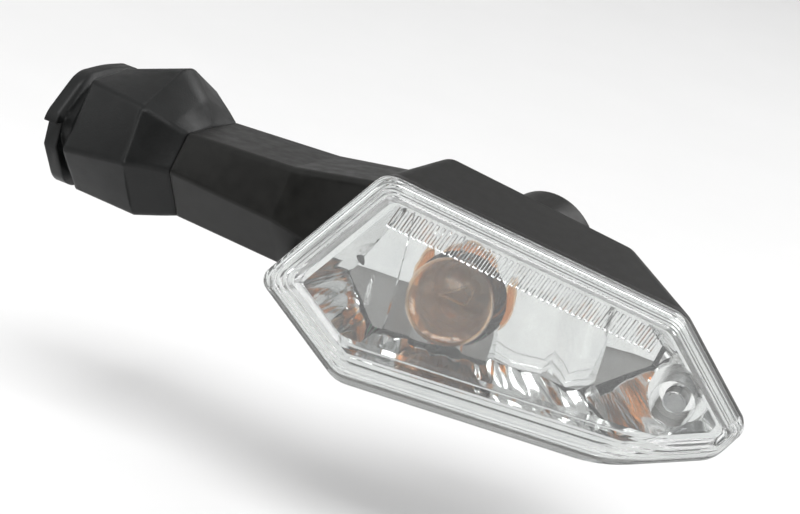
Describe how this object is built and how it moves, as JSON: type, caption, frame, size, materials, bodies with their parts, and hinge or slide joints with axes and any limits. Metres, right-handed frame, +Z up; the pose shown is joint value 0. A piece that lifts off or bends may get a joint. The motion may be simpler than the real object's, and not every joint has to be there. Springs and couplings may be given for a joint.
{
  "type": "turn signal indicator",
  "caption": "Stalk-mounted motorcycle turn signal: flexible rubber boot, hollow stalk and housing, clear bevelled lens and amber bayonet bulb.",
  "frame": {"origin": "middle of the rubber flange's inner face, where it bears on the bracket inside the panel", "axes": "+X outboard along the stalk, -Y the way the lens faces, +Z up"},
  "size_m": [0.1553, 0.0624, 0.0477],
  "materials": {
    "boot_rubber": "moulded matte",
    "housing_plastic": "fine texture",
    "lens_clear": "clear moulded",
    "reflector_metallised": "vacuum metallised",
    "seal_rubber": "matte",
    "steel_zinc": "zinc plated",
    "nickel_cap": "nickel plated",
    "brass": "stamped",
    "solder": "dull",
    "bulb_amber": "amber coated",
    "stem_glass": "clear",
    "insulator_black": "moulded",
    "tungsten": "drawn wire",
    "lead_black": "extruded",
    "lead_green": "extruded"
  },
  "bodies": {
    "mount": {"base_plate": "steel_zinc"},
    "boot": {"rubber_boot": "boot_rubber"},
    "arm": {"housing": "housing_plastic", "lens_gasket": "seal_rubber", "lens": "lens_clear", "lens_screw": "steel_zinc", "lens_screw_washer": "steel_zinc", "reflector": "reflector_metallised", "retainer_plate": "steel_zinc", "retainer_screws": "steel_zinc", "neck_grommet": "seal_rubber", "socket_shell": "nickel_cap", "socket_base": "insulator_black", "live_terminal": "brass", "ground_terminal": "brass", "socket_spring": "steel_zinc", "live_lead": "lead_green", "ground_lead": "lead_black"},
    "contact": {"contact_carrier": "insulator_black", "contact_button": "brass"},
    "bulb": {"bulb_glass": "bulb_amber", "bulb_cap": "nickel_cap", "bulb_pins": "nickel_cap", "bulb_insulator": "insulator_black", "bulb_contact": "solder", "bulb_stem": "stem_glass", "filament_supports": "tungsten", "filament": "tungsten"}
  },
  "joints": [
    {"name": "flex_fore_aft", "type": "hinge", "parent": "mount", "child": "boot", "pos_m": [0.012, 0, 0], "axis": [0, 0, 1], "range_deg": [-15, 15], "stiffness_Nm_per_rad": 8, "deforming": ["rubber_boot"]},
    {"name": "flex_up_down", "type": "hinge", "parent": "boot", "child": "arm", "pos_m": [0.012, 0, 0], "axis": [0, 1, 0], "range_deg": [-12, 12], "stiffness_Nm_per_rad": 8, "deforming": ["rubber_boot"]},
    {"name": "bulb_press", "type": "slide", "parent": "arm", "child": "contact", "axis": [0.0851, 0.9726, 0.2164], "range_m": [0, 0.0015], "stiffness_N_per_m": 1500, "deforming": ["socket_spring"]},
    {"name": "bulb_turn", "type": "hinge", "parent": "contact", "child": "bulb", "pos_m": [0.09243, 0.02779, -0.00225], "axis": [-0.0851, -0.9726, -0.2164], "range_deg": [0, 20]}
  ]
}
